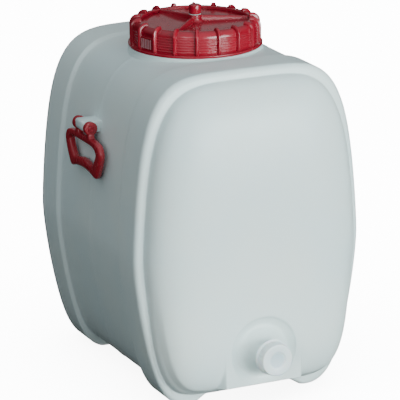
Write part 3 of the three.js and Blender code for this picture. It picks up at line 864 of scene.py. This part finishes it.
def squarish(count, power):
    """Points round a circle, pushed outwards to the corners by a power below 1."""
    spots = []
    for k in range(count):
        turn = k / count * 2 * math.pi
        parts = (math.cos(turn), math.sin(turn))
        spots.append([math.copysign(abs(part) ** power, part) for part in parts])
    return spots


def handle_loop(outer, opening):
    """The loop as one ring of rounded sections between its outer and inner outlines."""
    count = 220
    section = 20
    outside = resampled(closed_curve(both_sides(outer), 3), count)
    inside = resampled(closed_curve(both_sides(opening), 3), count)
    points = []
    for i in range(count):
        middle = (outside[i] + inside[i]) / 2
        arm = (outside[i] - inside[i]) / 2
        for along, through in squarish(section, SECTION_POWER):
            spot = middle + arm * along
            points.append((spot[0], HANDLE_THICKNESS / 2 * through, spot[1]))
    faces = []
    for i in range(count):
        j = (i + 1) % count
        for k in range(section):
            m = (k + 1) % section
            faces.append((i * section + k, i * section + m, j * section + m, j * section + k))
    return solid("handle_loop", points, faces)


def ear_and_stem(across, bar_top):
    """The round ear about the pin, and the stem that spreads from it into the top bar."""
    half = EAR_THICKNESS / 2
    profile = [(0, -half), (EAR_RADIUS - EAR_EDGE, -half)]
    profile += arc((EAR_RADIUS - EAR_EDGE, -half + EAR_EDGE), EAR_EDGE, -90, 0, 5)[1:]
    profile += arc((EAR_RADIUS - EAR_EDGE, half - EAR_EDGE), EAR_EDGE, 0, 90, 5)
    profile += [(0, half)]
    place = Matrix.Translation((across, 0, 0)) @ Matrix.Rotation(math.pi / 2, 4, "Y")
    ear = moved(lathe("ear", profile, 64), place)
    deep = HANDLE_THICKNESS / 2 - 0.4
    rings = []
    for z in np.linspace(bar_top - 5, -1, 9):
        spread = 1.4 * math.exp((bar_top + 1 - z) / 2.2)
        wide = half - 0.2 + min(spread, 3)
        rings.append([(across + wide * a, deep * b, z) for a, b in squarish(24, STEM_POWER)])
    return ear, skin("stem", rings)


def handle_pin():
    """A pin with a domed head outside each ear."""
    face = LUG_HALF_WIDTH + GAP + EAR_THICKNESS + GAP
    head = (PIN_HIGH[1] - PIN_LOW[1]) / 2 - face
    end = face + head
    profile = [(0, -end), (PIN_HEAD_RADIUS - 0.9, -end)]
    profile += arc((PIN_HEAD_RADIUS - 0.6, -end + 0.6), 0.6, -90, 0, 4)
    profile += [(PIN_HEAD_RADIUS, -face), (PIN_RADIUS, -face)]
    profile += [(PIN_RADIUS, face), (PIN_HEAD_RADIUS, face)]
    profile += arc((PIN_HEAD_RADIUS - 0.6, end - 0.6), 0.6, 0, 90, 4)
    profile += [(2.2, end), (1.6, end - 0.5), (0, end - 0.5)]
    return on_hinge(lathe("pin", profile, 64), "X")


# ---- Materials ----
def new_material(name, color, roughness):
    """A material with its main shader."""
    made = bpy.data.materials.new(name)
    made.use_nodes = True
    shader = made.node_tree.nodes["Principled BSDF"]
    shader.inputs["Base Color"].default_value = (*color, 1)
    shader.inputs["Roughness"].default_value = roughness
    return made, shader


def node(material, kind, **inputs):
    """A shader node whose inputs are set by their names, with _ for a space."""
    made = material.node_tree.nodes.new(kind)
    for name, value in inputs.items():
        made.inputs[name.replace("_", " ")].default_value = value
    return made


def link(owner, source, output, target, into):
    """Joins one node's output to another's input in a material or world, by name or number."""
    owner.node_tree.links.new(source.outputs[output], target.inputs[into])


def noise(material, scale, detail=3.0):
    """Noise in the object's own coordinates."""
    place = material.node_tree.nodes.get("Place") or material.node_tree.nodes.new("ShaderNodeTexCoord")
    place.name = "Place"
    made = node(material, "ShaderNodeTexNoise", Scale=scale, Detail=detail)
    link(material, place, "Object", made, "Vector")
    return made


def tone(material, shader, colors, scale, detail=3.0):
    """Base colour that wanders between two close tones."""
    source = noise(material, scale, detail)
    ramp = material.node_tree.nodes.new("ShaderNodeValToRGB")
    ramp.color_ramp.elements[0].position = 0.35
    ramp.color_ramp.elements[1].position = 0.65
    for element, color in zip(ramp.color_ramp.elements, colors):
        element.color = (*color, 1)
    link(material, source, "Fac", ramp, "Fac")
    link(material, ramp, "Color", shader, "Base Color")


def gloss(material, shader, low, high, scale):
    """Roughness that wanders between two values."""
    source = noise(material, scale, 4)
    spread = node(material, "ShaderNodeMapRange", From_Min=0.3, From_Max=0.7, To_Min=low, To_Max=high)
    link(material, source, "Fac", spread, "Value")
    link(material, spread, "Result", shader, "Roughness")


def grain(material, shader, layers):
    """Bumps on top of each other, each with a scale, a depth in metres and a strength."""
    below = None
    for scale, distance, strength in layers:
        source = noise(material, scale, 2)
        bump = node(material, "ShaderNodeBump", Strength=strength, Distance=distance)
        link(material, source, "Fac", bump, "Height")
        if below:
            link(material, below, "Normal", bump, "Normal")
        below = bump
    link(material, below, "Normal", shader, "Normal")


def polyethylene():
    """The tank: milky, slightly see-through to light, with a fine grain."""
    made, shader = new_material("natural_polyethylene", (0.69, 0.82, 0.81), 0.4)
    tone(made, shader, [(0.67, 0.81, 0.815), (0.715, 0.83, 0.81)], 9)
    gloss(made, shader, 0.36, 0.46, 60)
    grain(made, shader, [(22, 0.004, 0.12), (1600, 0.00012, 0.2)])
    shader.inputs["Subsurface Weight"].default_value = 0.25
    shader.inputs["Subsurface Radius"].default_value = (1.0, 1.0, 0.95)
    shader.inputs["Subsurface Scale"].default_value = 0.005
    shader.inputs["IOR"].default_value = 1.5
    return made


def red_plastic(name, dark, light, low, high):
    """Red mouldings between two tones and two roughnesses, with a thin shine."""
    made, shader = new_material(name, light, low)
    tone(made, shader, [dark, light], 40)
    gloss(made, shader, low, high, 120)
    grain(made, shader, [(60, 0.0004, 0.08), (1800, 0.00004, 0.2)])
    shader.inputs["Specular IOR Level"].default_value = 0.5
    shader.inputs["Coat Weight"].default_value = 0.1
    shader.inputs["Coat Roughness"].default_value = 0.1
    return made


def dimple_painted_shade(material, shader, color):
    """Painted shade: a cooler, darker tone within the dimple's radius about the outlet's axis, standing in
    for light through the thin plastic.
    """
    place = material.node_tree.nodes["Place"]
    flat = node(material, "ShaderNodeVectorMath")
    flat.operation = "MULTIPLY_ADD"
    flat.inputs[1].default_value = (1, 0, 1)
    flat.inputs[2].default_value = (0, 0, -OUTLET_HEIGHT * MM)
    link(material, place, "Object", flat, 0)
    reach = node(material, "ShaderNodeVectorMath")
    reach.operation = "LENGTH"
    link(material, flat, "Vector", reach, 0)
    share = node(material, "ShaderNodeMapRange", To_Min=1, To_Max=0)
    share.inputs["From Min"].default_value = SHADE_RADIUS * MM
    share.inputs["From Max"].default_value = (SHADE_RADIUS + SHADE_FADE) * MM
    link(material, reach, "Value", share, "Value")
    mix = node(material, "ShaderNodeMixRGB", Color2=(*color, 1))
    link(material, share, "Result", mix, "Fac")
    link(material, shader.inputs["Base Color"].links[0].from_node, "Color", mix, "Color1")
    link(material, mix, "Color", shader, "Base Color")


def white_plastic():
    """The outlet cap."""
    made, shader = new_material("outlet_cap_plastic", (0.76, 0.85, 0.87), 0.35)
    tone(made, shader, [(0.73, 0.84, 0.87), (0.77, 0.86, 0.88)], 60)
    # Painted shade: the dimple's cooler, darker tone stands in for the thin plastic's translucency.
    dimple_painted_shade(made, shader, (0.56, 0.70, 0.76))
    gloss(made, shader, 0.28, 0.4, 200)
    grain(made, shader, [(300, 0.0003, 0.15), (2400, 0.00006, 0.25)])
    shader.inputs["Subsurface Weight"].default_value = 0.2
    shader.inputs["Subsurface Scale"].default_value = 0.003
    return made


def soft_rubber():
    """The seals."""
    made, shader = new_material("pale_rubber", (0.48, 0.50, 0.48), 0.7)
    tone(made, shader, [(0.45, 0.47, 0.45), (0.52, 0.53, 0.51)], 150)
    gloss(made, shader, 0.62, 0.8, 300)
    grain(made, shader, [(900, 0.0002, 0.4)])
    return made


# ---- The object ----
def piece(thing, name, body, slot, material, *replaced):
    """Names a finished mesh, gives it its material and ties it to the frame."""
    thing.name = name
    thing.data.name = name
    thing.data.materials.clear()
    thing.data.materials.append(material)
    thing.data.shade_smooth()
    thing.data.set_sharp_from_angle(angle=SHARP_ANGLE)
    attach(thing, body)
    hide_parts(*replaced)
    return thing


def painted_light_bars(ring):
    """Painted light: a paler tone on the outer faces of the bars in the skirt's window, standing in for
    light those faces don't catch.
    """
    ring.data.materials.append(BAR_PAINTED_LIGHT_RED)
    towards = np.array([math.cos(WINDOW_ANGLE), math.sin(WINDOW_ANGLE)])
    for face in ring.data.polygons:
        spot = np.array(face.center)[:2] / MM - (0, AXIS_Y)
        out = spot @ towards
        aside = abs(spot @ (-towards[1], towards[0]))
        if abs(out - RING_RADIUS - BAR_REACH) < 0.3 and aside < SLOT_WIDTH / 2:
            face.material_index = 1


PE = polyethylene()
LID_RED = red_plastic("red_polyethylene", (0.25, 0.004, 0.015), (0.29, 0.006, 0.020), 0.2, 0.28)
HANDLE_RED = red_plastic("dark_red_plastic", (0.27, 0.012, 0.022), (0.36, 0.022, 0.034), 0.2, 0.3)
# Painted light: a paler red for the outer faces of the window bars, which sit in shade.
BAR_PAINTED_LIGHT_RED = red_plastic("painted_light_red_plastic", (0.42, 0.20, 0.22), (0.50, 0.27, 0.28), 0.3, 0.4)
CAP_WHITE = white_plastic()
RUBBER = soft_rubber()

piece(tank(), "barrel_tank", "tank", "tank", PE, "tank")
painted_light_bars(piece(lid_ring(), "screw_ring", "lid_ring", "lid", LID_RED, "lid_ring"))
piece(lid_disc(), "lid_plate", "lid_plate", "lid", LID_RED, "lid_disc")
lid_seal = flat_ring("seal", OPENING_RADIUS + GAP, NECK_RADIUS, SEAL_LOW[2], SEAL_HIGH[2])
piece(lid_seal, "mouth_seal", "lid_plate", "seal", RUBBER, "lid_seal")
piece(vent_plug(), "vent_knob", "vent_plug", "lid", LID_RED, "vent_plug")
plug_heights = (PLUG_SEAL_LOW[2], PLUG_SEAL_HIGH[2])
plug_seal = flat_ring("seal", PLUG_STEM_RADIUS + GAP, PLUG_KNOB_RADIUS, *plug_heights, 72)
piece(plug_seal, "vent_washer", "vent_plug", "seal", RUBBER, "vent_plug_seal")
piece(outlet_cap(), "drain_cap", "outlet_cap", "outlet_cap", CAP_WHITE, "outlet_cap")
piece(outlet_washer(), "drain_washer", "outlet_washer", "seal", RUBBER, "outlet_seal")
piece(handle(), "right_handle", "handle_right", "handle", HANDLE_RED, "handle_right")
piece(moved(handle(), MIRROR), "left_handle", "handle_left", "handle", HANDLE_RED, "handle_left")
piece(handle_pin(), "right_pin", "tank", "handle", LID_RED, "handle_pin_right")
piece(moved(handle_pin(), MIRROR), "left_pin", "tank", "handle", LID_RED, "handle_pin_left")


# ---- Stage, light and camera ----
SKY_DIRECTION = (-0.12, -0.3, 0.945)
SKY_COLOR = (0.88, 0.96, 1.0, 1)
CAMERA_ANGLES = (25.084, 16.931, -0.533)
CAMERA_PLACE = (-1.63033, -3.49302 + AXIS_Y * MM, 1.39525)
CAMERA_LENS = 273.2


def floor():
    """A wide pale floor that glows by itself, so that it runs into the white backdrop."""
    size = 6.0
    mesh = bpy.data.meshes.new("floor")
    corners = [(-size, -size, 0), (size, -size, 0), (size, size, 0), (-size, size, 0)]
    mesh.from_pydata(corners, [], [(0, 1, 2, 3)])
    made, shader = new_material("pale_floor", (0.86, 0.87, 0.87), 0.9)
    tone(made, shader, [(0.85, 0.86, 0.86), (0.87, 0.88, 0.88)], 3)
    shader.inputs["Emission Color"].default_value = (1, 1, 1, 1)
    shader.inputs["Emission Strength"].default_value = 8
    mesh.materials.append(made)
    thing = added("floor", mesh)
    thing.visible_diffuse = False
    thing.visible_glossy = False
    return thing


def floor_light(ground, strength):
    """A soft light from above that falls on the floor alone and leaves a faint shadow under the barrel."""
    data = bpy.data.lights.new("floor_light", "SUN")
    data.energy = strength
    data.angle = math.radians(100)
    thing = added("floor_light", data)
    only = bpy.data.collections.new("floor_only")
    only.objects.link(ground)
    thing.light_linking.receiver_collection = only


def aimed_light(name, kind, place, target, power, color):
    """A light at a place in metres that points at a target."""
    data = bpy.data.lights.new(name, kind)
    data.energy = power
    data.color = color
    thing = added(name, data)
    thing.location = place
    thing.rotation_mode = "QUATERNION"
    thing.rotation_quaternion = (Vector(target) - Vector(place)).to_track_quat("-Z", "Y")
    return thing


def area_light(name, place, target, size, power, color=(1, 1, 1)):
    """A rectangle of light that the camera doesn't see."""
    thing = aimed_light(name, "AREA", place, target, power, color)
    thing.data.shape = "RECTANGLE"
    thing.data.size, thing.data.size_y = size
    thing.visible_camera = False


def spot_light(name, place, target, cone, power, color):
    """A soft-edged cone of light, its width in degrees."""
    thing = aimed_light(name, "SPOT", place, target, power, color)
    thing.data.spot_size = math.radians(cone)
    thing.data.spot_blend = 1
    thing.data.shadow_soft_size = 0.08


def world(overhead, background):
    """A sky that is brightest in one direction and dark opposite. The camera sees it as plain white."""
    made = bpy.data.worlds.new("studio")
    made.use_nodes = True
    tree = made.node_tree
    output = tree.nodes["World Output"]
    light = tree.nodes["Background"]
    light.inputs["Color"].default_value = SKY_COLOR
    place = tree.nodes.new("ShaderNodeTexCoord")
    share = tree.nodes.new("ShaderNodeVectorMath")
    share.operation = "DOT_PRODUCT"
    share.inputs[1].default_value = SKY_DIRECTION
    height = tree.nodes.new("ShaderNodeMapRange")
    height.interpolation_type = "SMOOTHSTEP"
    height.inputs["From Min"].default_value = -0.05
    height.inputs["From Max"].default_value = 1.0
    height.inputs["To Min"].default_value = 0.02
    height.inputs["To Max"].default_value = overhead
    link(made, place, "Generated", share, 0)
    link(made, share, "Value", height, "Value")
    link(made, height, "Result", light, "Strength")
    backdrop = tree.nodes.new("ShaderNodeBackground")
    backdrop.inputs["Color"].default_value = (1, 1, 1, 1)
    backdrop.inputs["Strength"].default_value = background
    path = tree.nodes.new("ShaderNodeLightPath")
    mix = tree.nodes.new("ShaderNodeMixShader")
    link(made, path, "Is Camera Ray", mix, "Fac")
    link(made, light, "Background", mix, 1)
    link(made, backdrop, "Background", mix, 2)
    link(made, mix, "Shader", output, "Surface")
    bpy.context.scene.world = made


def camera():
    """A long lens. Its angles are degrees to the right of +Y, below the horizon, and of tilt."""
    yaw, pitch, roll = (math.radians(a) for a in CAMERA_ANGLES)
    level = math.cos(pitch)
    forward = Vector((math.sin(yaw) * level, math.cos(yaw) * level, -math.sin(pitch)))
    right = Vector((math.cos(yaw), -math.sin(yaw), 0))
    up = right.cross(forward)
    tilted_right = right * math.cos(roll) + up * math.sin(roll)
    tilted_up = up * math.cos(roll) - right * math.sin(roll)
    matrix = Matrix((tilted_right, tilted_up, -forward)).transposed().to_4x4()
    matrix.translation = CAMERA_PLACE
    data = bpy.data.cameras.new("camera")
    data.sensor_width = 36
    data.lens = CAMERA_LENS
    data.clip_end = 50
    thing = added("camera", data)
    thing.matrix_world = matrix
    bpy.context.scene.camera = thing


ground = floor()
floor_light(ground, 20)
world(0.95, 14.0)
# Places and sizes in metres, powers in watts.
area_light("key", (1.05, -3.4, 0.5), (0, 0, 0.22), (2.4, 1.8), 255, (0.92, 1.0, 1.0))
spot_light("outlet_glow", (-0.75, -1.0, 0.25), (-0.03, -0.19, 0.085), 15, 14, (1, 0.99, 0.93))
area_light("back", (1.3, 2.7, 1.5), (0, 0, 0.47), (1.6, 1.0), 2)
area_light("fill", (-1.7, -2.0, 1.1), (-0.15, -0.1, 0.3), (0.8, 0.8), 12.5)
camera()
